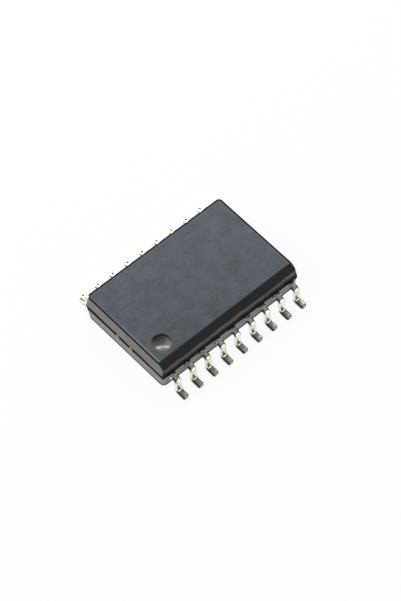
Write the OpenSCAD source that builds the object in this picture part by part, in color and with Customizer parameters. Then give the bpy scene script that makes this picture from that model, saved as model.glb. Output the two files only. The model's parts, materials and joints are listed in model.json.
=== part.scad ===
// Eighteen-lead wide small-outline chip: moulded body, formed leads, die and bond wires.
// The seating plane is z = 0, the lead rows run along x, and pin 1 is at -x, -y.

/* [Body] */
// Length of the body along the lead rows, at the parting line
body_length = 11.55; // [11.4:0.05:13]
// Width of the body between the lead rows, at the parting line
body_width = 7.5; // [7.1:0.1:8.5]
// Height of the body above the parting line
upper_height = 1.155; // [0.9:0.005:1.4]
// Height of the body below the parting line
lower_height = 1.175; // [0.9:0.005:1.4]
// Clearance between the underside and the board
standoff = 0.2; // [0.1:0.01:0.3]
// Draft angle of the side walls
draft_angle = 5; // [3:1:9]
// Corner radius of the body at the parting line
corner_radius = 0.25; // [0.25:0.01:0.4]
// How far the lower half stands in from the upper half
parting_step = 0.04; // [0.02:0.01:0.08]
// Run of the pin 1 side chamfer across the top face
chamfer_run = 0.475; // [0.3:0.005:0.7]
// Drop of the pin 1 side chamfer down the wall
chamfer_drop = 0.45; // [0.3:0.01:0.6]

/* [Pin 1 dimple] */
// Diameter of the dimple
dimple_diameter = 1.27; // [0.8:0.01:1.5]
// Depth of the dimple's straight wall
dimple_wall = 0.1; // [0.05:0.01:0.2]
// Depth of the dished floor below the straight wall
dimple_dish = 0.18; // [0.08:0.01:0.25]
// Ledge round the dished floor
dimple_ledge = 0.04; // [0.02:0.01:0.1]
// Distance of the dimple's centre from the end edge of the top face
dimple_from_end = 1.17; // [0.9:0.01:1.5]
// Distance of the dimple's centre from the chamfer
dimple_from_chamfer = 1.015; // [0.9:0.005:1.3]

/* [Ejector marks] */
// Diameter of the ejector pin marks in the underside
ejector_diameter = 1.6; // [1:0.1:2]
// Depth of the ejector pin marks
ejector_depth = 0.03; // [0.02:0.01:0.06]
// Distance between the two ejector pin marks
ejector_spacing = 6.8; // [5:0.1:8]

/* [Outer leads] */
// Distance between neighbouring leads
lead_pitch = 1.27; // [1.2:0.01:1.3]
// Thickness of the lead frame strip
frame_thickness = 0.25; // [0.2:0.01:0.3]
// Width of the leg and the foot
lead_width = 0.44; // [0.31:0.01:0.5]
// Width of the shoulder left where the dam bar was cut away
shoulder_width = 0.55; // [0.51:0.01:0.65]
// Length of the wide shoulder outside the body
shoulder_length = 0.3; // [0.15:0.01:0.3]
// Length of the straight lead outside the body, before the upper bend
straight_length = 0.31; // [0.3:0.01:0.45]
// Inner radius of the upper bend
upper_bend_radius = 0.12; // [0.08:0.01:0.2]
// Inner radius of the heel bend
heel_bend_radius = 0.09; // [0.06:0.01:0.2]
// Outward lean of the leg from the vertical
leg_lean = 6; // [0:1:10]
// Length of the flat foot, from the heel bend to the toe
foot_length = 0.56; // [0.4:0.005:0.9]

/* [Inner leads] */
// Width of the inner fingers at their tips
finger_width = 0.32; // [0.25:0.01:0.36]
// Length of the straight finger behind the body wall
finger_root = 0.55; // [0.4:0.01:0.7]
// Length of the straight finger at its tip
finger_tip = 0.45; // [0.35:0.01:0.6]
// Gap between the finger tips and the paddle
finger_gap = 0.35; // [0.25:0.01:0.45]
// Pitch of the finger tips
finger_pitch = 0.99; // [0.92:0.01:1.05]
// Diameter of the lock hole in each corner lead
lock_hole_diameter = 0.24; // [0.15:0.01:0.28]

/* [Die and paddle] */
// Length of the die paddle
paddle_length = 6.8; // [6:0.1:7.6]
// Width of the die paddle
paddle_width = 3; // [2.6:0.1:3.2]
// How far the paddle is set down below the leads
paddle_drop = 0.3; // [0.27:0.01:0.45]
// Width of each tie bar
tie_width = 0.3; // [0.2:0.01:0.4]
// Distance between the two tie bars at each end
tie_spacing = 1.24; // [0.8:0.02:1.6]
// Length of the sloped part of a tie bar
tie_slope = 0.45; // [0.4:0.01:0.6]
// Length of a tie bar's root inside the paddle
tie_root = 0.3; // [0.2:0.01:0.4]
// Thickness of the die attach layer
attach_thickness = 0.03; // [0.02:0.01:0.05]
// How far the die attach fillet shows round the die
attach_margin = 0.08; // [0.04:0.01:0.15]
// Length of the die
die_length = 4.4; // [4.2:0.1:5]
// Width of the die
die_width = 2.2; // [1.8:0.1:2.4]
// Thickness of the die
die_thickness = 0.3; // [0.2:0.01:0.38]

/* [Bond wires] */
// Diameter of the bond wires
wire_diameter = 0.05; // [0.04:0.005:0.06]
// Diameter of the bonded ball
ball_diameter = 0.12; // [0.1:0.005:0.14]
// Height of the bonded ball
ball_height = 0.04; // [0.03:0.005:0.06]
// Height of the upright neck above the ball
neck_height = 0.1; // [0.06:0.01:0.15]
// Radius of the bend over the neck
loop_radius = 0.12; // [0.08:0.01:0.16]
// Pitch of the bond pads along the die's edges
pad_pitch = 0.48; // [0.4:0.01:0.5]
// Distance of the bond pads from the die's edge
pad_inset = 0.12; // [0.1:0.01:0.2]
// Distance of the stitch bond from the finger tip
stitch_inset = 0.18; // [0.14:0.01:0.22]
// Length and width of the stitch bond
stitch_size = 0.12; // [0.08:0.01:0.14]

/* [Hidden] */
$fn = 48;
leads_per_row = 9;
lead_count = 2 * leads_per_row;
parting_z = standoff + lower_height;
top_z = parting_z + upper_height;
half_length = body_length / 2;
half_width = body_width / 2;
upper_inset = upper_height * tan(draft_angle);
lower_inset = lower_height * tan(draft_angle);
chamfer_edge_y = -half_width + upper_inset + chamfer_run;
chamfer_foot_z = top_z - chamfer_drop;
chamfer_foot_y = -half_width + (chamfer_foot_z - parting_z) * tan(draft_angle);
dimple_x = -half_length + upper_inset + dimple_from_end;
dimple_y = chamfer_edge_y + dimple_from_chamfer;
dish_radius = dimple_diameter / 2 - dimple_ledge;
dish_sphere = (dish_radius * dish_radius + dimple_dish * dimple_dish) / (2 * dimple_dish);

strip_bottom = parting_z - frame_thickness;
bend_angle = 90 - leg_lean;
bend_drop = 1 - cos(bend_angle);
bend_reach = upper_bend_radius + frame_thickness + heel_bend_radius;
leg_length = (strip_bottom - bend_reach * bend_drop) / sin(bend_angle);

paddle_top = parting_z - paddle_drop;
paddle_bottom = paddle_top - frame_thickness;
die_bottom = paddle_top + attach_thickness;
die_top = die_bottom + die_thickness;
tip_y = paddle_width / 2 + finger_gap;
tie_end = half_length;
tie_step = paddle_length / 2 + tie_slope;

wire_radius = wire_diameter / 2;
pad_y = die_width / 2 - pad_inset;
stitch_y = tip_y + stitch_inset;
neck_top = die_top + ball_height + neck_height;
stitch_z = parting_z + wire_radius;
overlap = 0.01;

// Pins 1 to 9 run along -y towards +x, and pins 10 to 18 come back along +y.
function row_place(pin) = (pin <= leads_per_row ? pin : lead_count + 1 - pin) - (leads_per_row + 1) / 2;
function row_side(pin) = pin <= leads_per_row ? -1 : 1;
function is_corner(pin) = abs(row_place(pin)) == (leads_per_row - 1) / 2;

// Outline of a strip that follows a path, with its half width at each point of the path.
function heading(path, i) = let (d = path[i + 1] - path[i]) d / norm(d);
function sideways(d) = [-d[1], d[0]];
function mitre(a, b) = (sideways(a) + sideways(b)) / (1 + a * b);
function strip_edge(path, half, sign) = [
    for (i = [0 : len(path) - 1])
        path[i] + sign * half[i] * mitre(heading(path, max(i - 1, 0)), heading(path, min(i, len(path) - 2)))
];
function reversed(list) = [for (i = [len(list) - 1 : -1 : 0]) list[i]];
function strip_outline(path, half) = concat(strip_edge(path, half, 1), reversed(strip_edge(path, half, -1)));

// One half of the body, drafted from its wide face at z = 0 to its narrow face at the given height.
module drafted_half(length, width, height, inset) {
    x = length / 2 - corner_radius;
    y = width / 2 - corner_radius;
    narrow = corner_radius - inset;
    wall = [[0, 0], [corner_radius, 0], [narrow, height], [0, height]];
    rotate([90, 0, 90])
        linear_extrude(2 * x, center = true)
            polygon([
                [-y - corner_radius, 0],
                [y + corner_radius, 0],
                [y + narrow, height],
                [-y - narrow, height]
            ]);
    for (side = [0, 180])
        rotate([0, 0, side])
            translate([x, 0, 0])
                rotate([90, 0, 0])
                    linear_extrude(2 * y, center = true)
                        polygon(wall);
    for (turn = [0 : 3])
        translate([turn == 0 || turn == 3 ? x : -x, turn < 2 ? y : -y, 0])
            rotate([0, 0, 90 * turn])
                rotate_extrude(angle = 90)
                    polygon(wall);
}

module pin_one_chamfer() {
    margin = 1;
    slope = (top_z - chamfer_foot_z) / (chamfer_edge_y - chamfer_foot_y);
    rotate([90, 0, 90])
        linear_extrude(body_length + margin, center = true)
            polygon([
                [chamfer_foot_y - margin, chamfer_foot_z - margin * slope],
                [chamfer_edge_y + margin, top_z + margin * slope],
                [chamfer_foot_y - margin, top_z + margin * slope]
            ]);
}

module pin_one_dimple() {
    translate([dimple_x, dimple_y, top_z - dimple_wall]) {
        cylinder(d = dimple_diameter, h = dimple_wall + overlap);
        translate([0, 0, dish_sphere - dimple_dish])
            sphere(r = dish_sphere);
    }
}

module ejector_marks() {
    for (side = [-1, 1])
        translate([side * ejector_spacing / 2, 0, standoff - overlap])
            cylinder(d = ejector_diameter, h = ejector_depth + overlap);
}

// The body's outer form: both halves, the pin 1 chamfer, the dimple and the ejector marks.
module body_form() {
    difference() {
        union() {
            translate([0, 0, parting_z])
                drafted_half(body_length, body_width, upper_height, upper_inset);
            translate([0, 0, parting_z])
                mirror([0, 0, 1])
                    drafted_half(body_length - 2 * parting_step, body_width - 2 * parting_step,
                                 lower_height, lower_inset);
        }
        pin_one_chamfer();
        pin_one_dimple();
        ejector_marks();
    }
}

module mould_body() {
    color("#5a6168")
        difference() {
            body_form();
            paddle_form();
            attach_form();
            die_form();
            for (pin = [1 : lead_count]) {
                lead_form(pin);
                wire_form(pin);
            }
        }
}

// A bend of the strip about the y axis, with its inner radius and the angle where it starts.
module strip_bend(radius, start) {
    rotate([90, 0, 0])
        rotate([0, 0, start])
            rotate_extrude(angle = bend_angle)
                translate([radius, -lead_width / 2])
                    square([frame_thickness, lead_width]);
}

// The narrow formed lead outside the body. x runs outward from the body wall, and the
// underside of the strip is at z = 0 where it leaves the wall.
module gull_wing() {
    foot_start = straight_length + bend_reach * sin(bend_angle) + leg_length * cos(bend_angle);
    translate([0, -lead_width / 2, 0])
        cube([straight_length, lead_width, frame_thickness]);
    translate([straight_length, 0, -upper_bend_radius]) {
        strip_bend(upper_bend_radius, 90 - bend_angle);
        rotate([0, bend_angle, 0])
            translate([0, -lead_width / 2, upper_bend_radius])
                cube([leg_length, lead_width, frame_thickness]);
    }
    translate([foot_start, 0, -strip_bottom]) {
        translate([0, 0, frame_thickness + heel_bend_radius])
            strip_bend(heel_bend_radius, 270 - bend_angle);
        translate([0, -lead_width / 2, 0])
            cube([foot_length, lead_width, frame_thickness]);
    }
}

// The flat strip: the wide shoulder outside the body and the finger inside it, fanned in
// towards the paddle. x and y are as in the body, with the lead on the +y side.
module shoulder_and_finger(place, corner) {
    root = place * lead_pitch;
    tip = place * finger_pitch;
    path = [
        [root, half_width + shoulder_length],
        [root, half_width - finger_root],
        [tip, tip_y + finger_tip],
        [tip, tip_y]
    ];
    half = [shoulder_width, shoulder_width, finger_width, finger_width] / 2;
    translate([0, 0, strip_bottom])
        linear_extrude(frame_thickness)
            difference() {
                polygon(strip_outline(path, half));
                if (corner)
                    translate([root, half_width - finger_root])
                        circle(d = lock_hole_diameter);
            }
}

module lead_form(pin) {
    place = row_place(pin);
    mirror([0, row_side(pin) < 0 ? 1 : 0, 0]) {
        translate([place * lead_pitch, half_width, strip_bottom])
            rotate([0, 0, 90])
                gull_wing();
        shoulder_and_finger(place, is_corner(pin));
    }
}

module frame_lead(pin) {
    color("#c9c7bf")
        lead_form(pin);
}

module paddle_form() {
    translate([-paddle_length / 2, -paddle_width / 2, paddle_bottom])
        cube([paddle_length, paddle_width, frame_thickness]);
    for (side = [0, 180])
        rotate([0, 0, side])
            for (y = [-tie_spacing, tie_spacing] / 2)
                translate([0, y, 0])
                    rotate([90, 0, 0])
                        linear_extrude(tie_width, center = true)
                            polygon([
                                [paddle_length / 2 - tie_root, paddle_bottom],
                                [paddle_length / 2, paddle_bottom],
                                [tie_step, strip_bottom],
                                [tie_end, strip_bottom],
                                [tie_end, parting_z],
                                [tie_step, parting_z],
                                [paddle_length / 2, paddle_top],
                                [paddle_length / 2 - tie_root, paddle_top]
                            ]);
}

module attach_form() {
    length = die_length + 2 * attach_margin;
    width = die_width + 2 * attach_margin;
    translate([-length / 2, -width / 2, paddle_top])
        cube([length, width, attach_thickness]);
}

module die_form() {
    translate([-die_length / 2, -die_width / 2, die_bottom])
        cube([die_length, die_width, die_thickness]);
}

module die_paddle() {
    color("#b87347")
        paddle_form();
}

module die_attach() {
    color("#8f9296")
        attach_form();
}

module silicon_die() {
    color("#3f4650")
        die_form();
}

// One bond wire: ball and neck on the die, a bend, a straight run down and a stitch on the finger.
module wire_form(pin) {
    start = [row_place(pin) * pad_pitch, row_side(pin) * pad_y];
    end = [row_place(pin) * finger_pitch, row_side(pin) * stitch_y];
    run = norm(end - start);
    turn = atan2(end[1] - start[1], end[0] - start[0]);
    reach = norm([run - loop_radius, neck_top - stitch_z]);
    aim = atan2(neck_top - stitch_z, run - loop_radius) + asin(loop_radius / reach);
    slope = round(100 * aim) / 100;
    fall = sqrt(reach * reach - loop_radius * loop_radius);
    translate([start[0], start[1], die_top]) {
        cylinder(d = ball_diameter, h = ball_height);
        cylinder(d = wire_diameter, h = ball_height + neck_height);
        rotate([0, 0, turn])
            translate([loop_radius, 0, ball_height + neck_height]) {
                rotate([90, 0, 0])
                    rotate([0, 0, 90 - slope])
                        rotate_extrude(angle = 90 + slope)
                            translate([loop_radius, 0])
                                circle(d = wire_diameter);
                rotate([0, 90 + slope, 0])
                    translate([-loop_radius, 0, 0])
                        cylinder(d = wire_diameter, h = fall);
            }
    }
    translate([end[0], end[1], parting_z])
        rotate([0, 0, turn])
            translate([-stitch_size / 2, -stitch_size / 2, 0])
                cube([stitch_size, stitch_size, wire_diameter]);
}

module bond_wire(pin) {
    color("#d9b24a")
        wire_form(pin);
}

module lead_1() { frame_lead(1); }
module lead_2() { frame_lead(2); }
module lead_3() { frame_lead(3); }
module lead_4() { frame_lead(4); }
module lead_5() { frame_lead(5); }
module lead_6() { frame_lead(6); }
module lead_7() { frame_lead(7); }
module lead_8() { frame_lead(8); }
module lead_9() { frame_lead(9); }
module lead_10() { frame_lead(10); }
module lead_11() { frame_lead(11); }
module lead_12() { frame_lead(12); }
module lead_13() { frame_lead(13); }
module lead_14() { frame_lead(14); }
module lead_15() { frame_lead(15); }
module lead_16() { frame_lead(16); }
module lead_17() { frame_lead(17); }
module lead_18() { frame_lead(18); }
module bond_wire_1() { bond_wire(1); }
module bond_wire_2() { bond_wire(2); }
module bond_wire_3() { bond_wire(3); }
module bond_wire_4() { bond_wire(4); }
module bond_wire_5() { bond_wire(5); }
module bond_wire_6() { bond_wire(6); }
module bond_wire_7() { bond_wire(7); }
module bond_wire_8() { bond_wire(8); }
module bond_wire_9() { bond_wire(9); }
module bond_wire_10() { bond_wire(10); }
module bond_wire_11() { bond_wire(11); }
module bond_wire_12() { bond_wire(12); }
module bond_wire_13() { bond_wire(13); }
module bond_wire_14() { bond_wire(14); }
module bond_wire_15() { bond_wire(15); }
module bond_wire_16() { bond_wire(16); }
module bond_wire_17() { bond_wire(17); }
module bond_wire_18() { bond_wire(18); }

mould_body();
die_paddle();
die_attach();
silicon_die();
lead_1();
lead_2();
lead_3();
lead_4();
lead_5();
lead_6();
lead_7();
lead_8();
lead_9();
lead_10();
lead_11();
lead_12();
lead_13();
lead_14();
lead_15();
lead_16();
lead_17();
lead_18();
bond_wire_1();
bond_wire_2();
bond_wire_3();
bond_wire_4();
bond_wire_5();
bond_wire_6();
bond_wire_7();
bond_wire_8();
bond_wire_9();
bond_wire_10();
bond_wire_11();
bond_wire_12();
bond_wire_13();
bond_wire_14();
bond_wire_15();
bond_wire_16();
bond_wire_17();
bond_wire_18();
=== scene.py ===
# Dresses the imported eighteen-lead chip: moulded body, tinned leads, and finishes for what lies inside.
# Sizes in the dictionaries are millimetres and colours are sRGB numbers from 0 to 255.
import json
from math import atan2, cos, hypot, pi, radians, sin, tan

import bmesh
import bpy
from mathutils import Matrix, Vector


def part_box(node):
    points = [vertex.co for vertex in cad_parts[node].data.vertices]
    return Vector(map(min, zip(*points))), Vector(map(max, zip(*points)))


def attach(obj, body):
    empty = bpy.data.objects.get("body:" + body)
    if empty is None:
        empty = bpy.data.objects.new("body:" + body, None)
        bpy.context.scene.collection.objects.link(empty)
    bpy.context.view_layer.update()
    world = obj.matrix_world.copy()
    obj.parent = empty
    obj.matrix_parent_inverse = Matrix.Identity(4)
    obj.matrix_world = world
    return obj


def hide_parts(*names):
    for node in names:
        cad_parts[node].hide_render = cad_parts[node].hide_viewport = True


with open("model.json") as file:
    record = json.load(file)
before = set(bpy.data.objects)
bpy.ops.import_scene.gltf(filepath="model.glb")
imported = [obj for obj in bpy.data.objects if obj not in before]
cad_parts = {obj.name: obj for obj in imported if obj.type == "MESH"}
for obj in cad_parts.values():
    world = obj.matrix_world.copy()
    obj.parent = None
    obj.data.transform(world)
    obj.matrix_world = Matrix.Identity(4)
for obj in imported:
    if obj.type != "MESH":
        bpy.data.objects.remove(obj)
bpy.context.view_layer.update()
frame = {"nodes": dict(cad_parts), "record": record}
millimetre = 0.001
bodyLow, bodyHigh = (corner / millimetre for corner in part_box("mould_body"))
leadLow, leadHigh = (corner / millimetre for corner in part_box("lead_5"))
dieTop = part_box("silicon_die")[1].z / millimetre
halfLength = bodyHigh.x
halfWidth = bodyHigh.y
topZ = bodyHigh.z
bottomZ = bodyLow.z
partingZ = leadHigh.z
tipY = -leadHigh.y
toeY = -leadLow.y
print("frame loaded:", len(frame["nodes"]), "solids")


# Shader helpers
def tone(red, green, blue):
    def linear(value):
        value = value / 255
        return value / 12.92 if value <= 0.04045 else ((value + 0.055) / 1.055) ** 2.4
    return (linear(red), linear(green), linear(blue), 1.0)


class Wire:
    def __init__(self, recipe, node, output):
        self.recipe = recipe
        self.node = node
        self.socket = node.outputs[output] if node.outputs else None

    def output(self, name):
        return Wire(self.recipe, self.node, name)

    def sum(self, operation, first, second, clamp=False):
        return self.recipe.node("ShaderNodeMath", {"operation": operation, "use_clamp": clamp},
                                {0: first, 1: second})

    def __add__(self, other):
        return self.sum("ADD", self, other)

    def __radd__(self, other):
        return self.sum("ADD", other, self)

    def __sub__(self, other):
        return self.sum("SUBTRACT", self, other)

    def __rsub__(self, other):
        return self.sum("SUBTRACT", other, self)

    def __mul__(self, other):
        return self.sum("MULTIPLY", self, other)

    def __rmul__(self, other):
        return self.sum("MULTIPLY", other, self)

    def size(self):
        return self.sum("ABSOLUTE", self, 0)

    def root(self):
        return self.sum("SQRT", self, 0)

    def atLeast(self, limit):
        return self.sum("MAXIMUM", self, limit)

    def atMost(self, limit):
        return self.sum("MINIMUM", self, limit)

    def held(self):
        return self.sum("ADD", self, 0, clamp=True)


class Recipe:
    def __init__(self, tree):
        self.tree = tree
        self.tree.nodes.clear()

    def node(self, kind, settings=None, inputs=None, output=0):
        made = self.tree.nodes.new(kind)
        for name, value in (settings or {}).items():
            setattr(made, name, value)
        for name, value in (inputs or {}).items():
            self.feed(made.inputs[name], value)
        return Wire(self, made, output)

    def feed(self, socket, value):
        if isinstance(value, Wire):
            self.tree.links.new(value.socket, socket)
        else:
            socket.default_value = value

    def blend(self, mask, first, second):
        return self.node("ShaderNodeMix", {"data_type": "RGBA"}, {0: mask, 6: first, 7: second}, 2)

    def millimetres(self):
        place = self.node("ShaderNodeTexCoord", output="Object")
        inputs = {0: place, "Scale": 1 / millimetre}
        return self.node("ShaderNodeVectorMath", {"operation": "SCALE"}, inputs)

    def split(self, vector):
        return self.node("ShaderNodeSeparateXYZ", inputs={0: vector}, output="X")

    def turned(self, vector, turn, stretch):
        inputs = {"Vector": vector, "Rotation": turn, "Scale": stretch}
        return self.node("ShaderNodeMapping", inputs=inputs)

    def noise(self, vector, scale, detail=3.0, roughness=0.55):
        inputs = {"Vector": vector, "Scale": scale, "Detail": detail, "Roughness": roughness}
        return self.node("ShaderNodeTexNoise", inputs=inputs)

    def ramp(self, value, low, high):    # rises smoothly from 0 at low to 1 at high
        inputs = {"Value": value, "From Min": low, "From Max": high}
        return self.node("ShaderNodeMapRange", {"interpolation_type": "SMOOTHSTEP", "clamp": True}, inputs)

    def bump(self, height, depth):
        inputs = {"Height": height, "Distance": depth * millimetre, "Strength": 1.0}
        return self.node("ShaderNodeBump", inputs=inputs, output="Normal")

    def surface(self, inputs, mask=None, other=None):
        shader = self.node("ShaderNodeBsdfPrincipled", inputs=inputs)
        if mask:
            second = self.node("ShaderNodeBsdfPrincipled", inputs=other)
            shader = self.node("ShaderNodeMixShader", inputs={0: mask, 1: shader, 2: second})
        self.node("ShaderNodeOutputMaterial", inputs={"Surface": shader})


def newMaterial(name):
    material = bpy.data.materials.new(name)
    material.use_nodes = True
    return material, Recipe(material.node_tree)


# Mould compound finishes
mottle = {
    "cloudScale": 0.9, "cloudShare": 0.5, "patchScale": 3.2, "patchShare": 0.3,
    "streakTurn": radians(42), "streakStretch": (0.8, 2.4, 1.0), "streakScale": 1.7, "streakShare": 0.2,
    "contrast": 2.6, "grainScale": 16.0,
}

# Painted shade: a near-black finish mixed in along the top's edge line, the parting seam, under the top
# edge, at the foot of the walls and on the near wall below the chamfer
paintedShadeCompound = {"Base Color": tone(10, 10, 10), "Roughness": 0.9, "Specular IOR Level": 0.05}


def mottled(recipe, place):
    cloud = recipe.noise(place, mottle["cloudScale"], 2.0)
    patch = recipe.noise(place, mottle["patchScale"], 4.0, 0.65)
    along = recipe.turned(place, (0, 0, mottle["streakTurn"]), mottle["streakStretch"])
    streak = recipe.noise(along, mottle["streakScale"], 3.0)
    mixed = cloud * mottle["cloudShare"] + patch * mottle["patchShare"] + streak * mottle["streakShare"]
    return (mixed - 0.5) * mottle["contrast"] + 0.5


def fineGrain(recipe, place):
    return recipe.noise(place, mottle["grainScale"], 2.0)


def fromOutline(axes):    # how far a point of the top lies inside its rounded outline
    corner = body["topCorner"]
    overX = axes.size() - (halfLength - upperInset - corner)
    overY = axes.output("Y").size() - (halfWidth - upperInset - corner)
    outX = overX.atLeast(0)
    outY = overY.atLeast(0)
    return corner - (outX * outX + outY * outY).root() - overX.atLeast(overY).atMost(0)


topFinish = {
    "dark": tone(47, 57, 64), "light": tone(78, 86, 94), "grainShare": 0.4,
    "paintedFarSheen": 0.36, "sheenSlant": 0.4, "sheenReach": 5.5,    # painted sheen: lighter towards the far corner
    "paintedRim": tone(126, 132, 136), "highlightWidth": 0.05, "highlightStrength": 0.2, "pinEndHighlight": 0.45,
    "paintedRimFade": 0.7, "highlightReach": 2.5,    # the painted highlight line fades away from the near side
    "highlightBlur": (0.4, 1.6), "shadeLineBlur": (0.7, 1.3),
    "shadeLineWidth": 0.12, "pinEndShadeLine": 0.045, "pinEnd": (0.2, 0.3),
    "roughness": 0.5, "grainRoughness": 0.08, "specular": 0.5, "grainDepth": 0.004,
}


def topCompound():
    material, recipe = newMaterial("mould_compound_top")
    place = recipe.millimetres()
    axes = recipe.split(place)
    grain = fineGrain(recipe, place)
    reach = topFinish["sheenReach"]
    # painted sheen: the top grows lighter towards the far corner
    paintedFarShading = recipe.ramp(axes.output("Y") + axes * topFinish["sheenSlant"], -reach, reach) - 0.5
    mask = mottled(recipe, place) + paintedFarShading * topFinish["paintedFarSheen"] + (grain - 0.5) * topFinish["grainShare"]
    shade = recipe.blend(mask.held(), topFinish["dark"], topFinish["light"])
    inside = fromOutline(axes)
    low, high = topFinish["pinEnd"]
    pinEnd = 1 - recipe.ramp(axes, low - halfLength, high - halfLength)
    shadeLineWidth = topFinish["shadeLineWidth"] + pinEnd * (topFinish["pinEndShadeLine"] - topFinish["shadeLineWidth"])
    # painted highlight: a light line just inside the dark edge line, strongest at the pin end and on the
    # near side
    width = topFinish["highlightWidth"]
    fromHighlight = (inside - shadeLineWidth - width).size()
    reach = topFinish["highlightReach"]
    nearer = 1 - recipe.ramp(axes.output("Y"), -reach, reach) * topFinish["paintedRimFade"]
    strength = pinEnd * topFinish["pinEndHighlight"] + topFinish["highlightStrength"]
    low, high = topFinish["highlightBlur"]
    paintedRim = (1 - recipe.ramp(fromHighlight, width * low, width * high)) * nearer * strength
    # painted shade: a near-black line along the top's rounded edge, narrower at the pin end
    low, high = topFinish["shadeLineBlur"]
    edge = 1 - recipe.ramp(inside, shadeLineWidth * low, shadeLineWidth * high)
    recipe.surface({
        "Base Color": recipe.blend(paintedRim, shade, topFinish["paintedRim"]),
        "Roughness": topFinish["roughness"] + grain * topFinish["grainRoughness"],
        "Specular IOR Level": topFinish["specular"],
        "Normal": recipe.bump(grain, topFinish["grainDepth"]),
    }, edge, paintedShadeCompound)
    return material


# Partly painted light: the walls keep the compound's mottle, but in lighter tones than the top's, for the
# light the walls catch
wallFinish = {
    "dark": tone(94, 95, 90), "light": tone(112, 112, 106),
    "lower": tone(122, 122, 117), "bounceLightStrength": 0.8, "bounceLightFade": (0.05, 0.15),
    "seamWidth": 0.14, "farSeamWidth": 0.04, "seamSoftness": 0.045, "seamDrop": 0.03,
    "seamSwell": 0.09, "swellScale": 0.55, "seamWander": 0.06, "wanderScale": 0.9,
    "seamGap": (0.55, 0.69), "gapSoftness": 0.04, "cornerFade": (-0.04, 0.02),
    "browShade": 0.15, "hemShadow": 0.29, "hemCore": 0.7, "hemShadowStrength": 0.75,
    "roughness": 0.28, "grainRoughness": 0.08, "specular": 0.3, "grainDepth": 0.003,
}


def partingSeamShadow(recipe, place, axes):    # painted shadow along the parting line, thinner towards the far end
    wander = (recipe.noise(place, wallFinish["wanderScale"], 1.0) - 0.5) * wallFinish["seamWander"]
    fromSeam = (axes.output("Z") - partingZ + wallFinish["seamDrop"] + wander).size()
    narrower = recipe.ramp(axes, 0, 1) * (wallFinish["seamWidth"] - wallFinish["farSeamWidth"])
    swell = recipe.noise(place, wallFinish["swellScale"], 0.0) * wallFinish["seamSwell"]
    width = swell + wallFinish["seamWidth"] - narrower
    soft = wallFinish["seamSoftness"]
    seamShadow = 1 - recipe.ramp(fromSeam, width - soft, width + soft)
    low, high = wallFinish["seamGap"]    # the tie bars' cut ends interrupt the painted seam shadow
    blur = wallFinish["gapSoftness"]
    across = axes.output("Y").size()
    gap = recipe.ramp(across, low - blur, low + blur) * (1 - recipe.ramp(across, high - blur, high + blur))
    return seamShadow * (1 - gap)


def wallCompound():
    material, recipe = newMaterial("mould_compound_walls")
    place = recipe.millimetres()
    axes = recipe.split(place)
    height = axes.output("Z")
    grain = fineGrain(recipe, place)
    shade = recipe.blend(mottled(recipe, place).held(), wallFinish["dark"], wallFinish["light"])
    start, end = wallFinish["cornerFade"]    # the painted seam shadow and brow shade are only on the end faces
    longer = halfLength - halfWidth
    atEnds = recipe.ramp(axes.size() - axes.output("Y").size(), longer + start, longer + end)
    soft = wallFinish["seamSoftness"]
    # painted shade: a dark band just under the top edge of the end faces
    browZ = topZ - wallFinish["browShade"]
    browShade = recipe.ramp(height, browZ - soft, browZ + soft)
    onEnds = (partingSeamShadow(recipe, place, axes) + browShade).held() * atEnds
    # painted shadow: dark along the foot of every wall
    hemTop = wallFinish["hemShadow"]
    hemShadow = 1 - recipe.ramp(height, bottomZ + hemTop * wallFinish["hemCore"], bottomZ + hemTop)
    dark = (onEnds + hemShadow * wallFinish["hemShadowStrength"]).held()
    # painted light: lighter below the parting line, for the light thrown up from the floor
    start, end = wallFinish["bounceLightFade"]
    lower = 1 - recipe.ramp(height, partingZ - end, partingZ - start)
    recipe.surface({
        "Base Color": recipe.blend(lower * wallFinish["bounceLightStrength"], shade, wallFinish["lower"]),
        "Roughness": wallFinish["roughness"] + grain * wallFinish["grainRoughness"],
        "Specular IOR Level": wallFinish["specular"],
        "Normal": recipe.bump(grain, wallFinish["grainDepth"]),
    }, dark, paintedShadeCompound)
    return material


# Painted shade: the chamfer, the near wall and the body's rounded edges take a darker copy of the compound
chamferFinish = {
    "dark": tone(40, 41, 40), "light": tone(49, 50, 49), "paintedEdgeShading": tone(100, 101, 99),
    "highlightDrop": 0.45, "highlightCore": 0.02, "highlightAbove": 0.07, "highlightBelow": 0.38,
    "highlightWander": 0.18, "wanderScale": 1.1, "highlightLeast": 0.5, "patchScale": 0.9,
    "nearSide": (0.3, 0.4), "nearWallShadeStrength": 0.9,
    "roughness": 0.34, "grainRoughness": 0.1, "specular": 0.1, "grainDepth": 0.003,
}


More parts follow.
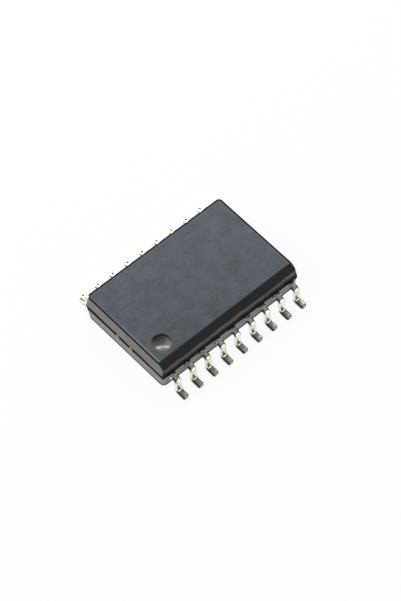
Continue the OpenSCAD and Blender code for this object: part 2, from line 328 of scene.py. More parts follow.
def chamferCompound():
    material, recipe = newMaterial("mould_compound_chamfer")
    place = recipe.millimetres()
    axes = recipe.split(place)
    grain = fineGrain(recipe, place)
    shade = recipe.blend(mottled(recipe, place).held(), chamferFinish["dark"], chamferFinish["light"])
    # painted highlight: a light wavy band along the chamfer's lower rounded edge, on the near side only
    wander = (recipe.noise(place, chamferFinish["wanderScale"], 2.0) - 0.5) * chamferFinish["highlightWander"]
    height = axes.output("Z") + wander
    highlightZ = topZ - chamferFinish["highlightDrop"]
    rising = recipe.ramp(height, highlightZ - chamferFinish["highlightBelow"], highlightZ)
    falling = 1 - recipe.ramp(height, highlightZ + chamferFinish["highlightCore"], highlightZ + chamferFinish["highlightAbove"])
    start, end = chamferFinish["nearSide"]
    onNear = 1 - recipe.ramp(axes.output("Y"), start - halfWidth, end - halfWidth)
    patch = chamferFinish["highlightLeast"] + recipe.noise(place, chamferFinish["patchScale"], 2.0)
    paintedEdgeShading = rising * falling * onNear * patch
    # painted shade: darker down the near wall from the chamfer's foot to the parting line
    nearWallShade = 1 - recipe.ramp(axes.output("Z"), partingZ, topZ - body["chamferDrop"])
    recipe.surface({
        "Base Color": recipe.blend(paintedEdgeShading.held(), shade, chamferFinish["paintedEdgeShading"]),
        "Roughness": chamferFinish["roughness"] + grain * chamferFinish["grainRoughness"],
        "Specular IOR Level": chamferFinish["specular"],
        "Normal": recipe.bump(grain, chamferFinish["grainDepth"]),
    }, nearWallShade * chamferFinish["nearWallShadeStrength"], paintedShadeCompound)
    return material


dimpleFinish = {
    "paintedRim": tone(14, 17, 20), "floor": tone(64, 77, 84), "roughness": 0.08, "specular": 1.0, "gloss": 1.55,
    "grainScale": 5.0, "grainDepth": 0.008, "grainRoughness": 0.1, "paintedRimFade": 0.02,
    "shadeFrom": -0.3, "shadeTo": 0.2, "shadeStrength": 0.9,    # painted shade: the floor darkens towards the far side
    "ring": {
        "aside": (-0.13, -0.26), "turn": radians(-38), "length": 0.31, "width": 0.14,
        "thickness": 0.45, "softness": 0.06, "wobble": 0.4, "mattRoughness": 0.4,
    },
}


def dimpleCompound():
    material, recipe = newMaterial("mould_compound_dimple")
    place = recipe.millimetres()
    axes = recipe.split(place)
    grain = recipe.noise(place, dimpleFinish["grainScale"], 2.0)
    # painted shade: the recess wall is near black
    recessWallShade = recipe.ramp(axes.output("Z"), topZ - dimple["wall"] - dimpleFinish["paintedRimFade"], topZ)
    centre = dimpleCentre()
    ring = dimpleFinish["ring"]    # the pin that shapes the dimple leaves a small polished ring in it
    asideX, asideY = ring["aside"]
    fromX = axes - (centre.x + asideX)
    fromY = axes.output("Y") - (centre.y + asideY)
    lengthwise = (fromX * cos(ring["turn"]) + fromY * sin(ring["turn"])) * (1 / ring["length"])
    widthwise = (fromY * cos(ring["turn"]) - fromX * sin(ring["turn"])) * (1 / ring["width"])
    fromRing = (lengthwise * lengthwise + widthwise * widthwise).root() - 1
    fromRing = (fromRing + (grain - 0.5) * ring["wobble"]).size()
    matt = recipe.ramp(fromRing, ring["thickness"] - ring["softness"], ring["thickness"] + ring["softness"])
    start = centre.y + dimpleFinish["shadeFrom"]
    end = centre.y + dimpleFinish["shadeTo"]
    paintedFarShading = recipe.ramp(axes.output("Y"), start, end) * dimpleFinish["shadeStrength"]
    shade = recipe.blend(paintedFarShading, dimpleFinish["floor"], dimpleFinish["paintedRim"])
    roughness = dimpleFinish["roughness"] + grain * dimpleFinish["grainRoughness"]
    recipe.surface({
        "Base Color": recipe.blend(recessWallShade, shade, dimpleFinish["paintedRim"]),
        "Roughness": roughness + matt * ring["mattRoughness"],
        "Specular IOR Level": dimpleFinish["specular"],
        "IOR": dimpleFinish["gloss"],
        "Normal": recipe.bump(grain, dimpleFinish["grainDepth"]),
    })
    return material


# Metal and silicon finishes
tinFinish = {
    "bright": tone(240, 239, 230), "dull": tone(214, 211, 198), "paintedLitEdge": tone(250, 250, 246),
    "patchScale": 2.4, "patchMask": (0.35, 0.7), "patchRoughness": 0.04, "roughness": 0.15,
    "drawnStretch": (6.0, 1.0, 1.0), "brushScale": 4.0, "brushRoughness": 0.02, "brushShare": 0.7,
    "grainScale": 12.0, "grainShare": 0.3, "grainDepth": 0.0012, "dentScale": 6.0, "dents": 28.0,
    "heelShade": tone(170, 166, 146), "heelShadeHeight": 0.15,
    "cutEnd": tone(166, 159, 141), "cutFade": (0.04, 0.015),
    "copper": tone(205, 140, 100), "silver": tone(235, 235, 232), "silverReach": (0.4, 0.45),
    "platedInto": 0.06,
}
# Painted dark reflections along the lead edges of the near row, and a dark mark at a toe corner of the far
# row
leadEdgeShading = {
    "dark": tone(42, 41, 37), "light": tone(74, 72, 66), "toeCornerDark": tone(20, 19, 17),
    "reach": 0.09, "wander": 0.06, "fade": (-0.02, 0.03), "legFade": 0.1,
    "cornerAside": (0.07, 0.09), "cornerLength": (0.22, 0.2), "cornerDepth": (0.05, 0.03),
    "patchScale": 5.0, "roughness": 0.4, "patchRoughness": 0.15,
}


def edgeShadingPlace(recipe, axes):    # painted dark reflections along both edges of the near row; the far row gets a dark mark at a corner of the toe
    half = lead["pitch"] / 2
    sideways = recipe.node("ShaderNodeMath", {"operation": "WRAP"}, {0: axes, 1: half, 2: -half})
    start, end = leadEdgeShading["cornerLength"]
    low, high = leadEdgeShading["cornerDepth"]
    atToe = recipe.ramp(axes.output("Y"), toeY - start, toeY - end)
    onTop = recipe.ramp(axes.output("Z"), lead["thickness"] - low, lead["thickness"] - high)
    atCorner = recipe.ramp(sideways, *leadEdgeShading["cornerAside"]) * atToe * onTop
    farRow = recipe.ramp(axes.output("Y"), -1, 1)
    return sideways.size(), atCorner, farRow


def tinWithPaintedEdges(recipe, axes, patch, plated):    # painted dark reflections along the foot and the upper bend, not on the leg
    height = axes.output("Z")
    reach = axes.output("Y").size()
    fromMiddle, atCorner, farRow = edgeShadingPlace(recipe, axes)
    edge = lead["legWidth"] / 2 - leadEdgeShading["reach"]
    start, end = leadEdgeShading["fade"]
    paintedEdgeShading = recipe.ramp(fromMiddle + (patch - 0.5) * leadEdgeShading["wander"], edge + start, edge + end)
    low = 1 - recipe.ramp(height, lead["legLow"] - leadEdgeShading["legFade"], lead["legLow"])
    high = recipe.ramp(height, lead["legHigh"], lead["legHigh"] + leadEdgeShading["legFade"])
    outside = recipe.ramp(reach, halfWidth + lead["shoulderLength"], halfWidth + lead["straight"])
    paintedEdgeShading = paintedEdgeShading * (low + high).held() * outside
    # the far row gets only a dark mark at a toe corner
    paintedEdgeShading = paintedEdgeShading * (1 - farRow) + atCorner * farRow
    return recipe.blend(paintedEdgeShading, plated, recipe.blend(farRow, leadEdgeShading["light"], leadEdgeShading["toeCornerDark"]))


def outerTin(recipe, axes, patch):    # painted shade, darker low on the leg and along the foot towards the heel; grey at the cut toe
    reach = axes.output("Y").size()
    mask = recipe.ramp(patch, *tinFinish["patchMask"])
    plated = recipe.blend(mask, tinFinish["bright"], tinFinish["dull"])
    # painted shade low on the leg and on the foot near the heel
    heelShadeTop = lead["legLow"] - tinFinish["heelShadeHeight"]
    inHeelShade = 1 - recipe.ramp(axes.output("Z"), heelShadeTop, lead["legLow"])
    towardToe = recipe.ramp(reach, toeY - lead["foot"], toeY)
    plated = recipe.blend(inHeelShade * (1 - towardToe), plated, tinFinish["heelShade"])
    start, end = tinFinish["cutFade"]
    atCut = recipe.ramp(reach, toeY - start, toeY - end)
    return tinWithPaintedEdges(recipe, axes, patch, recipe.blend(atCut, plated, tinFinish["cutEnd"]))


def innerCopper(recipe, axes):    # bare copper with a spot of silver where the wire lands
    start, end = tinFinish["silverReach"]
    spot = 1 - recipe.ramp(axes.output("Y").size(), tipY + start, tipY + end)
    return recipe.blend(spot, tinFinish["copper"], tinFinish["silver"])


def tinnedLead():
    material, recipe = newMaterial("tinned_lead_strip")
    place = recipe.millimetres()
    axes = recipe.split(place)
    drawn = recipe.turned(place, (0, 0, 0), tinFinish["drawnStretch"])
    grain = recipe.noise(place, tinFinish["grainScale"], 3.0)
    brushed = recipe.noise(drawn, tinFinish["brushScale"], 3.0)
    patch = recipe.noise(place, tinFinish["patchScale"], 3.0)
    inside = 1 - recipe.ramp(axes.output("Y").size(), halfWidth - tinFinish["platedInto"], halfWidth)
    onShoulder = recipe.ramp(axes.output("Z"), lead["legHigh"] - leadEdgeShading["legFade"], lead["legHigh"])
    dents = recipe.noise(place, tinFinish["dentScale"], 1.0) * onShoulder * tinFinish["dents"]
    relief = grain * tinFinish["grainShare"] + brushed * tinFinish["brushShare"] + dents
    roughness = tinFinish["roughness"] + patch * tinFinish["patchRoughness"]
    recipe.surface({
        "Base Color": recipe.blend(inside, outerTin(recipe, axes, patch), innerCopper(recipe, axes)),
        "Metallic": 1.0,
        "Roughness": roughness + brushed * tinFinish["brushRoughness"],
        "Normal": recipe.bump(relief, tinFinish["grainDepth"]),
    })
    return material


def rolledEdge():    # painted dark reflections on the near row's rounded strip edges, painted light on the far row's, with a dark mark at a far toe corner
    material, recipe = newMaterial("tinned_lead_edge")
    place = recipe.millimetres()
    patch = recipe.noise(place, leadEdgeShading["patchScale"], 3.0)
    atCorner, farRow = edgeShadingPlace(recipe, recipe.split(place))[1:]
    paintedEdgeShading = recipe.blend(farRow, recipe.blend(patch, leadEdgeShading["dark"], leadEdgeShading["light"]), leadEdgeShading["toeCornerDark"])
    recipe.surface({
        # painted light: the far row's rounded edges are lighter than the tin
        "Base Color": recipe.blend(1 - farRow * (1 - atCorner), tinFinish["paintedLitEdge"], paintedEdgeShading),
        "Metallic": 1.0,
        "Roughness": leadEdgeShading["roughness"] + patch * leadEdgeShading["patchRoughness"],
        "Normal": recipe.bump(patch, tinFinish["grainDepth"]),
    })
    return material


paddleFinish = {
    "copper": tone(205, 140, 100), "silver": tone(232, 232, 229), "cutEnd": tone(112, 108, 100),
    "silverLength": 2.5, "silverWidth": 1.35, "silverFade": 0.05, "cutFade": (0.12, 0.1),
    "drawnStretch": (1.0, 7.0, 1.0), "grainScale": 3.0,
    "roughness": 0.3, "grainRoughness": 0.15, "grainDepth": 0.004,
}


def platedPaddle():
    material, recipe = newMaterial("copper_paddle")
    place = recipe.millimetres()
    axes = recipe.split(place)
    drawn = recipe.turned(place, (0, 0, 0), paddleFinish["drawnStretch"])
    grain = recipe.noise(drawn, paddleFinish["grainScale"], 3.0)
    length = paddleFinish["silverLength"]
    width = paddleFinish["silverWidth"]
    fade = paddleFinish["silverFade"]
    onLength = 1 - recipe.ramp(axes.size(), length, length + fade)
    onWidth = 1 - recipe.ramp(axes.output("Y").size(), width, width + fade)
    faced = recipe.blend(onLength * onWidth, paddleFinish["copper"], paddleFinish["silver"])
    start, end = paddleFinish["cutFade"]    # the tie bars are cut off at the end faces
    cut = recipe.ramp(axes.size(), halfLength - start, halfLength - end)
    recipe.surface({
        "Base Color": recipe.blend(cut, faced, paddleFinish["cutEnd"]),
        "Metallic": 1 - cut,
        "Roughness": paddleFinish["roughness"] + grain * paddleFinish["grainRoughness"],
        "Normal": recipe.bump(grain, paddleFinish["grainDepth"]),
    })
    return material


pasteFinish = {
    "dark": tone(122, 124, 126), "light": tone(168, 170, 172), "flakeScale": 24.0, "metalMask": (0.4, 0.6),
    "roughness": 0.45, "flakeRoughness": 0.2, "grainDepth": 0.006,
}


def silverPaste():
    material, recipe = newMaterial("silver_filled_paste")
    place = recipe.millimetres()
    flake = recipe.noise(place, pasteFinish["flakeScale"], 2.0)
    recipe.surface({
        "Base Color": recipe.blend(flake, pasteFinish["dark"], pasteFinish["light"]),
        "Metallic": recipe.ramp(flake, *pasteFinish["metalMask"]),
        "Roughness": pasteFinish["roughness"] + flake * pasteFinish["flakeRoughness"],
        "Normal": recipe.bump(flake, pasteFinish["grainDepth"]),
    })
    return material


dieFinish = {
    "field": tone(60, 66, 84), "block": tone(96, 92, 118), "metal": tone(172, 168, 158),
    "topFade": (0.02, 0.01), "blockScale": 2.2, "trackPitch": 0.12, "trackMask": (0.6, 0.7),
    "trackBlocks": (0.5, 0.55), "trackStrength": 0.5, "metallic": 0.3,
    "roughness": 0.16, "blockRoughness": 0.1, "grainDepth": 0.001,
}


def patternedSilicon():
    material, recipe = newMaterial("silicon_circuit")
    place = recipe.millimetres()
    axes = recipe.split(place)
    blocks = recipe.node("ShaderNodeTexVoronoi", {"distance": "CHEBYCHEV"},
                         {"Vector": place, "Scale": dieFinish["blockScale"]}, "Color")
    share = recipe.split(blocks)
    tracks = recipe.node("ShaderNodeTexWave", {"wave_type": "BANDS", "bands_direction": "X"},
                         {"Vector": place, "Scale": 1 / dieFinish["trackPitch"]})
    start, end = dieFinish["topFade"]
    onTop = recipe.ramp(axes.output("Z"), dieTop - start, dieTop - end)
    field = recipe.blend(share * onTop, dieFinish["field"], dieFinish["block"])
    inBlock = recipe.ramp(share.output("Y"), *dieFinish["trackBlocks"])
    metal = recipe.ramp(tracks, *dieFinish["trackMask"]) * inBlock * onTop * dieFinish["trackStrength"]
    recipe.surface({
        "Base Color": recipe.blend(metal, field, dieFinish["metal"]),
        "Metallic": dieFinish["metallic"] + metal,
        "Roughness": dieFinish["roughness"] + share.output("Z") * dieFinish["blockRoughness"],
        "Normal": recipe.bump(tracks, dieFinish["grainDepth"]),
    })
    return material


goldFinish = {
    "pale": tone(240, 205, 120), "deep": tone(222, 178, 88), "drawnScale": 20.0,
    "roughness": 0.18, "drawnRoughness": 0.12, "grainDepth": 0.001,
}


def goldWire():
    material, recipe = newMaterial("gold_wire")
    place = recipe.millimetres()
    drawn = recipe.noise(place, goldFinish["drawnScale"], 2.0)
    recipe.surface({
        "Base Color": recipe.blend(drawn, goldFinish["pale"], goldFinish["deep"]),
        "Metallic": 1.0,
        "Roughness": goldFinish["roughness"] + drawn * goldFinish["drawnRoughness"],
        "Normal": recipe.bump(drawn, goldFinish["grainDepth"]),
    })
    return material


# Pieces
def finishPiece(bm, name, materials, nodes):
    bmesh.ops.remove_doubles(bm, verts=bm.verts, dist=0.00002)
    bmesh.ops.scale(bm, vec=(millimetre,) * 3, verts=bm.verts)
    bmesh.ops.recalc_face_normals(bm, faces=bm.faces)
    mesh = bpy.data.meshes.new(name)
    bm.to_mesh(mesh)
    bm.free()
    mesh.shade_smooth()
    mesh.set_sharp_from_angle(angle=radians(35))
    for material in materials:
        mesh.materials.append(material)
    piece = bpy.data.objects.new(name, mesh)
    bpy.context.scene.collection.objects.link(piece)
    weighted = piece.modifiers.new("even shading", "WEIGHTED_NORMAL")
    weighted.keep_sharp = True
    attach(piece, "root")
    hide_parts(*nodes)
    return piece


body = {
    "draft": radians(5), "partingStep": 0.02, "endTaper": 0.05,
    "topCorner": 0.26, "partingCorner": 0.1, "bottomCorner": 0.34, "cornerSteps": 8,
    "topEdge": 0.025, "bottomEdge": 0.06, "edgeSteps": 3, "flatRing": 0.03,
    "chamferRun": 0.475, "chamferDrop": 0.45, "chamferRound": 0.22, "roundSteps": 8,
    "level": 0.999, "tilted": 0.2, "onChamfer": (0.4, 0.8),    # slopes that part the finishes
}
dimple = {
    "fromEnd": 1.17, "fromChamfer": 1.015, "radius": 0.635, "lip": 0.02, "wall": 0.15, "ledge": 0.04,
    "dish": 0.13, "dishSteps": 8, "steps": 48,
}
ejector = {"spacing": 6.8, "radius": 0.8, "lip": 0.01, "depth": 0.03, "lean": 0.01, "steps": 48}
upperInset = (topZ - partingZ) * tan(body["draft"])
lowerInset = (partingZ - bottomZ) * tan(body["draft"])


def roundedPlate(bm, endInset, sideInset, corner, height):
    known = set(bm.faces)
    verts = bmesh.ops.create_grid(bm, x_segments=1, y_segments=1, size=1)["verts"]
    bmesh.ops.scale(bm, vec=(halfLength - endInset, halfWidth - sideInset, 1), verts=verts)
    bmesh.ops.translate(bm, vec=(0, 0, height), verts=verts)
    bmesh.ops.bevel(bm, geom=verts, offset=corner, offset_type="OFFSET", segments=body["cornerSteps"],
                    profile=0.5, affect="VERTICES", material=-1)
    return next(face for face in bm.faces if face not in known)


def cutAway(bm, point, normal):
    everything = bm.verts[:] + bm.edges[:] + bm.faces[:]
    cut = bmesh.ops.bisect_plane(bm, geom=everything, dist=0.00001, plane_co=point, plane_no=normal,
                                 clear_outer=True)
    paintedRim = [item for item in cut["geom_cut"] if isinstance(item, bmesh.types.BMEdge)]
    bmesh.ops.edgeloop_fill(bm, edges=paintedRim)


def cutChamfer(bm):
    edgeY = -halfWidth + upperInset + body["chamferRun"]
    footZ = topZ - body["chamferDrop"]
    footY = -halfWidth + (footZ - partingZ) * tan(body["draft"])
    slope = atan2(body["chamferDrop"], edgeY - footY)
    wall = pi / 2 - body["draft"]

    def outward(tilt):
        return Vector((0, -sin(tilt), cos(tilt)))

    foot = Vector((0, footY, footZ))
    inward = (outward(slope) + outward(wall)) / (1 + outward(slope).dot(outward(wall)))
    centre = foot - body["chamferRound"] * inward
    for step in range(body["roundSteps"]):
        tilt = slope + (wall - slope) * step / body["roundSteps"]
        cutAway(bm, centre + body["chamferRound"] * outward(tilt), outward(tilt))


def dimpleCentre():
    edgeY = -halfWidth + upperInset + body["chamferRun"]
    return Vector((-halfLength + upperInset + dimple["fromEnd"], edgeY + dimple["fromChamfer"], topZ))


def fromAxis(place, centre):    # distance in plan
    return hypot(place.x - centre.x, place.y - centre.y)


def sinkRecesses(bm, face, recesses):    # turns each profile about its centre and joins it to the face
    bmesh.ops.inset_region(bm, faces=[face], thickness=body["flatRing"], use_even_offset=True)
    rims = list(face.edges)
    for centre, facing, profile, steps in recesses:
        spots = [bm.verts.new(centre + Vector((radius, 0, -facing * depth))) for radius, depth in profile]
        lines = [bm.edges.new(pair) for pair in zip(spots, spots[1:])]
        bmesh.ops.spin(bm, geom=spots + lines, cent=centre, axis=(0, 0, 1), angle=2 * pi, steps=steps,
                       use_merge=True)
        reach = profile[0][0]
        near = [vert for vert in bm.verts if (vert.co - centre).length < reach + 0.001]
        bmesh.ops.remove_doubles(bm, verts=near, dist=0.0001)
        for edge in bm.edges:
            onRim = all(abs(fromAxis(vert.co, centre) - reach) < 0.0005 for vert in edge.verts)
            if onRim and edge.is_boundary:
                rims.append(edge)
    normal = face.normal.copy()
    bmesh.ops.delete(bm, geom=[face], context="FACES_ONLY")
    bmesh.ops.triangle_fill(bm, use_beauty=True, use_dissolve=False, edges=rims, normal=normal)


def dishProfile():
    radius = dimple["radius"]
    lip = dimple["lip"]
    wall = dimple["wall"]
    dish = dimple["dish"]
    inner = radius - dimple["ledge"]
    sphere = (inner ** 2 + dish ** 2) / (2 * dish)
    widest = atan2(inner, sphere - dish)
    profile = [
        (radius + lip + body["flatRing"], 0), (radius + lip, 0), (radius + lip * 0.3, lip * 0.3),
        (radius, lip), (radius, wall),
    ]
    for step in range(dimple["dishSteps"] + 1):
        angle = widest * (1 - step / dimple["dishSteps"])
        profile.append((sphere * sin(angle), wall + sphere * cos(angle) - (sphere - dish)))
    return profile


def markProfile():
    radius = ejector["radius"]
    depth = ejector["depth"]
    lip = ejector["lip"]
    return [
        (radius + lip + body["flatRing"], 0), (radius + lip, 0), (radius, lip),
        (radius - ejector["lean"], depth), (radius * 0.5, depth), (0, depth),
    ]


def levelFace(bm, up):    # the largest face that looks up (1) or down (-1)
    return max(bm.faces, key=lambda face: face.normal.z * face.calc_area() * up)


def roundRim(bm, face, radius):
    bmesh.ops.bevel(bm, geom=face.edges[:], offset=radius, offset_type="OFFSET", clamp_overlap=True,
                    segments=body["edgeSteps"], profile=0.5, affect="EDGES", material=-1)


bodyFinishes = {
    "top": topCompound, "wall": wallCompound, "chamfer": chamferCompound, "dimple": dimpleCompound,
}


def bodyFinish(face, centre):    # by place and slope; the rounded edges take the chamfer's finish
    middle = face.calc_center_median()
    up = face.normal.z
    outward, topmost = body["onChamfer"]
    if fromAxis(middle, centre) < dimple["radius"] + dimple["lip"] and middle.z > partingZ:
        return "dimple"
    if up > body["level"]:
        return "top"
    if face.normal.y < -outward and middle.z > partingZ:
        return "top" if up > topmost else "chamfer"
    return "chamfer" if body["tilted"] < abs(up) < body["level"] else "wall"


def buildBody():
    bm = bmesh.new()
    step = body["partingStep"]
    bottom = roundedPlate(bm, step + body["endTaper"], step + lowerInset, body["bottomCorner"], bottomZ)
    parting = roundedPlate(bm, 0, 0, body["partingCorner"], partingZ)
    top = roundedPlate(bm, upperInset, upperInset, body["topCorner"], topZ)
    bmesh.ops.bridge_loops(bm, edges=parting.edges[:] + top.edges[:])
    bmesh.ops.inset_region(bm, faces=[parting], thickness=body["partingStep"], use_even_offset=True)
    bmesh.ops.bridge_loops(bm, edges=parting.edges[:] + bottom.edges[:])
    bmesh.ops.delete(bm, geom=[parting], context="FACES_ONLY")
    bmesh.ops.recalc_face_normals(bm, faces=bm.faces)
    cutChamfer(bm)
    bmesh.ops.recalc_face_normals(bm, faces=bm.faces)
    roundRim(bm, levelFace(bm, 1), body["topEdge"])
    roundRim(bm, levelFace(bm, -1), body["bottomEdge"])
    centre = dimpleCentre()
    sinkRecesses(bm, levelFace(bm, 1), [(centre, 1, dishProfile(), dimple["steps"])])
    marks = [Vector((side * ejector["spacing"] / 2, 0, bottomZ)) for side in (-1, 1)]
    sinkRecesses(bm, levelFace(bm, -1), [(mark, -1, markProfile(), ejector["steps"]) for mark in marks])
    bmesh.ops.recalc_face_normals(bm, faces=bm.faces)
    order = list(bodyFinishes)
    for face in bm.faces:
        face.material_index = order.index(bodyFinish(face, centre))
    materials = [makeFinish() for makeFinish in bodyFinishes.values()]
    return finishPiece(bm, "dressed_mould_body", materials, ["mould_body"])


lead = {
    "pitch": 1.27, "fingerPitch": 0.99, "fingerWidth": 0.32, "fingerTip": 0.45, "fingerRoot": 0.55,
    "thickness": 0.25, "edge": 0.05, "edgeSteps": 3,
    "shoulderWidth": 0.55, "shoulderLength": 0.27, "shoulderTaper": 0.03,
    "legWidth": 0.44, "straight": 0.31, "upperBend": 0.12, "heelBend": 0.11, "bendSteps": 10,
    "lean": radians(6), "foot": 0.54, "toeRound": 0.14, "toeDrop": 0.06, "toeSteps": 6,
    "legLow": 0.35, "legHigh": 1.15, "rolledTilt": (0.2, 0.97),
}


def drawOn(bm, face, change):
    grown = bmesh.ops.extrude_face_region(bm, geom=face.verts[:] + face.edges[:] + [face])["geom"]
    verts = [item for item in grown if isinstance(item, bmesh.types.BMVert)]
    bmesh.ops.transform(bm, matrix=change, verts=verts)
    return next(item for item in grown if isinstance(item, bmesh.types.BMFace))


def bendOn(bm, face, centre, angle):
    geometry = face.verts[:] + face.edges[:] + [face]
    bent = bmesh.ops.spin(bm, geom=geometry, cent=centre, axis=(1, 0, 0), angle=angle,
                          steps=lead["bendSteps"])
    return next(item for item in bent["geom_last"] if isinstance(item, bmesh.types.BMFace))


def fingerStations(rootX, tipX):
    run = halfWidth - lead["fingerRoot"] - tipY - lead["fingerTip"]
    slant = atan2(rootX - tipX, run)
    mitred = 1 / cos(slant / 2)
    wide = lead["shoulderWidth"]
    shoulder = halfWidth + lead["shoulderLength"]
    return [
        (tipX, tipY, lead["fingerWidth"], 0),
        (tipX, tipY + lead["fingerTip"], lead["fingerWidth"] * mitred, -slant / 2),
        (rootX, halfWidth - lead["fingerRoot"], wide * mitred, -slant / 2),
        (rootX, shoulder, wide, 0),
        (rootX, shoulder + lead["shoulderTaper"], lead["legWidth"], 0),
        (rootX, halfWidth + lead["straight"], lead["legWidth"], 0),
    ]


def sectionPlace(station):
    x, y, width, turn = station
    middleZ = partingZ - lead["thickness"] / 2
    place = Matrix.Translation((x, y, middleZ)) @ Matrix.Rotation(turn, 4, "Z")
    return place @ Matrix.Diagonal((width, 1, 1, 1))


def startStrip(bm, station):    # the strip's rounded section, that the lead is drawn out from
    verts = bmesh.ops.create_grid(bm, x_segments=1, y_segments=1, size=0.5)["verts"]
    bmesh.ops.scale(bm, vec=(lead["legWidth"], lead["thickness"], 1), verts=verts)
    bmesh.ops.bevel(bm, geom=verts, offset=lead["edge"], offset_type="OFFSET", segments=lead["edgeSteps"],
                    profile=0.5, affect="VERTICES", material=-1)
    bmesh.ops.rotate(bm, cent=(0, 0, 0), matrix=Matrix.Rotation(pi / 2, 3, "X"), verts=bm.verts)
    bmesh.ops.scale(bm, vec=(1 / lead["legWidth"], 1, 1), verts=bm.verts)
    bmesh.ops.transform(bm, matrix=sectionPlace(station), verts=bm.verts)
    return next(iter(bm.faces))


def roundToe(bm, face):
    toe = Matrix.Translation(face.calc_center_median())
    before = Matrix.Identity(4)
    for step in range(1, lead["toeSteps"] + 1):
        angle = pi / 2 * step / lead["toeSteps"]
        narrower = 1 - 2 * lead["toeRound"] * (1 - cos(angle)) / lead["legWidth"]
        lower = 1 - lead["toeDrop"] * (1 - cos(angle)) / lead["thickness"]
        onward = Matrix.Translation((0, lead["toeRound"] * sin(angle), 0))
        after = onward @ Matrix.Diagonal((narrower, 1, lower, 1))
        face = drawOn(bm, face, toe @ after @ before.inverted() @ toe.inverted())
        before = after


def buildLead(pin, foot, materials):
    side = 1 if foot.y > 0 else -1
    rootX = foot.x
    stations = fingerStations(rootX, rootX * lead["fingerPitch"] / lead["pitch"])
    thick = lead["thickness"]
    bm = bmesh.new()
    face = startStrip(bm, stations[0])
    for station, following in zip(stations, stations[1:]):
        face = drawOn(bm, face, sectionPlace(following) @ sectionPlace(station).inverted())
    turn = pi / 2 - lead["lean"]
    reach = lead["upperBend"] + thick + lead["heelBend"]
    stripBottom = partingZ - thick
    legLength = (stripBottom - reach * (1 - cos(turn))) / sin(turn)
    wristY = halfWidth + lead["straight"]
    face = bendOn(bm, face, Vector((rootX, wristY, stripBottom - lead["upperBend"])), -turn)
    down = Vector((0, cos(turn), -sin(turn)))
    face = drawOn(bm, face, Matrix.Translation(down * legLength))
    outward = Vector((0, sin(turn), cos(turn)))
    heel = face.calc_center_median() + outward * (lead["heelBend"] + thick / 2)
    face = bendOn(bm, face, heel, turn)
    face = drawOn(bm, face, Matrix.Translation((0, lead["foot"] - lead["toeRound"], 0)))
    roundToe(bm, face)
    bmesh.ops.recalc_face_normals(bm, faces=bm.faces)
    least, most = lead["rolledTilt"]
    for face in bm.faces:
        middle = face.calc_center_median()
        onLeg = lead["legLow"] < middle.z < lead["legHigh"]
        rolled = middle.y > halfWidth and not onLeg and least < abs(face.normal.x) < most
        face.material_index = 1 if rolled else 0
    bmesh.ops.scale(bm, vec=(1, side, 1), verts=bm.verts)
    return finishPiece(bm, "dressed_lead_%d" % pin, materials, ["lead_%d" % pin])


buildBody()
print("body built")
tin = [tinnedLead(), rolledEdge()]
mounts = {mount["name"]: Vector(mount["pos_m"]) / millimetre for mount in frame["record"]["mounts"]}
for pin in range(1, 19):
    buildLead(pin, mounts["pin_%d_foot" % pin], tin)
print("leads built")

inner = {
    "die_paddle": platedPaddle(), "die_attach": silverPaste(), "silicon_die": patternedSilicon(),
}
gold = goldWire()
for pin in range(1, 19):
    inner["bond_wire_%d" % pin] = gold
for name, material in inner.items():
    node = frame["nodes"][name]
    node.data.materials.clear()
    node.data.materials.append(material)
print("inner pieces finished")

# Floor, lights and camera
studio = {
    "floorSize": 1.2, "floorTone": (0.94, 0.94, 0.94, 1.0), "floorShown": 0.93,
    "ambient": 0.27, "backdropFade": (20, 25),    # the metal mirrors white up to these degrees
    "backLeft": {"turn": 55, "rise": 38, "distance": 0.16, "size": (0.22, 0.09), "glow": 2.8},
    "backRight": {"turn": -34, "rise": 41, "distance": 0.16, "size": (0.2, 0.06), "glow": 4.4},
    "frontRight": {"turn": -158, "rise": 12, "distance": 0.16, "size": (0.16, 0.06), "glow": 1.4},
}


def buildFloor():
    bm = bmesh.new()
    bmesh.ops.create_grid(bm, x_segments=1, y_segments=1, size=studio["floorSize"] / 2)
    mesh = bpy.data.meshes.new("studio_floor")
    bm.to_mesh(mesh)
    bm.free()
    floor = bpy.data.objects.new("studio_floor", mesh)
    bpy.context.scene.collection.objects.link(floor)
    material, recipe = newMaterial("studio_floor_white")
    path = recipe.node("ShaderNodeLightPath", output="Is Camera Ray")
    seen = (path + path.output("Is Glossy Ray") + path.output("Is Transmission Ray")).held()
    matte = recipe.node("ShaderNodeBsdfDiffuse", inputs={"Color": studio["floorTone"]})
    lit = recipe.node("ShaderNodeEmission", inputs={"Color": (1, 1, 1, 1), "Strength": 1.0})
    shown = recipe.node("ShaderNodeMixShader", inputs={0: seen * studio["floorShown"], 1: matte, 2: lit})
    recipe.node("ShaderNodeOutputMaterial", inputs={"Surface": shown})
    mesh.materials.append(material)


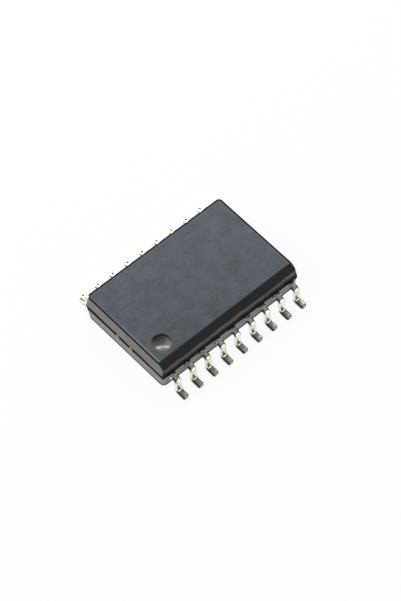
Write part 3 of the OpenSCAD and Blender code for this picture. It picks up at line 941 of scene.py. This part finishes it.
def addSoftbox(name, light):
    lamp = bpy.data.lights.new(name, "AREA")
    lamp.shape = "RECTANGLE"
    lamp.size, lamp.size_y = light["size"]
    lamp.energy = light["glow"] * pi * lamp.size * lamp.size_y
    box = bpy.data.objects.new(name, lamp)
    turn = radians(light["turn"])
    rise = radians(light["rise"])
    away = Vector((-sin(turn) * cos(rise), cos(turn) * cos(rise), sin(rise)))
    box.location = away * light["distance"]
    box.rotation_euler = away.to_track_quat("Z", "Y").to_euler()
    bpy.context.scene.collection.objects.link(box)


def setWorld():
    world = bpy.data.worlds.new("studio_world")
    bpy.context.scene.world = world
    world.use_nodes = True
    recipe = Recipe(world.node_tree)
    direction = recipe.split(recipe.node("ShaderNodeTexCoord", output="Generated"))
    low, high = studio["backdropFade"]
    backdrop = 1 - recipe.ramp(direction.output("Z"), sin(radians(low)), sin(radians(high)))
    path = recipe.node("ShaderNodeLightPath", output="Is Camera Ray")
    mirrored = (path.output("Is Glossy Ray") + path.output("Is Transmission Ray")) * backdrop
    strength = (path + mirrored).held() * (1 - studio["ambient"]) + studio["ambient"]
    glow = recipe.node("ShaderNodeBackground", inputs={"Color": (1, 1, 1, 1), "Strength": strength})
    recipe.node("ShaderNodeOutputWorld", inputs={"Surface": glow})


view = {
    "turn": radians(-41.863), "rise": radians(56.598), "roll": radians(0.285), "distance": 172.4,
    "aim": (0, 0, 1.3), "aside": 0.54, "lift": -0.565, "lens": 161.44,
}


def addCamera():
    turn = view["turn"]
    rise = view["rise"]
    back = Vector((sin(turn) * cos(rise), -cos(turn) * cos(rise), sin(rise)))
    right = Vector((cos(turn), sin(turn), 0))
    up = back.cross(right)
    camera = bpy.data.cameras.new("camera")
    camera.lens = view["lens"]
    camera.sensor_width = 36
    camera.clip_start = 0.01
    camera.clip_end = 10
    eye = bpy.data.objects.new("camera", camera)
    place = Vector(view["aim"]) + right * view["aside"] + up * view["lift"] + back * view["distance"]
    axes = Matrix((right, up, back)).transposed().to_4x4()
    roll = Matrix.Rotation(-view["roll"], 4, "Z")
    eye.matrix_world = Matrix.Translation(place * millimetre) @ axes @ roll
    bpy.context.scene.collection.objects.link(eye)
    bpy.context.scene.camera = eye


buildFloor()
addSoftbox("back_left_softbox", studio["backLeft"])
addSoftbox("back_right_softbox", studio["backRight"])
addSoftbox("front_right_softbox", studio["frontRight"])
setWorld()
addCamera()
bpy.context.scene.view_settings.view_transform = "Standard"
print("studio set")
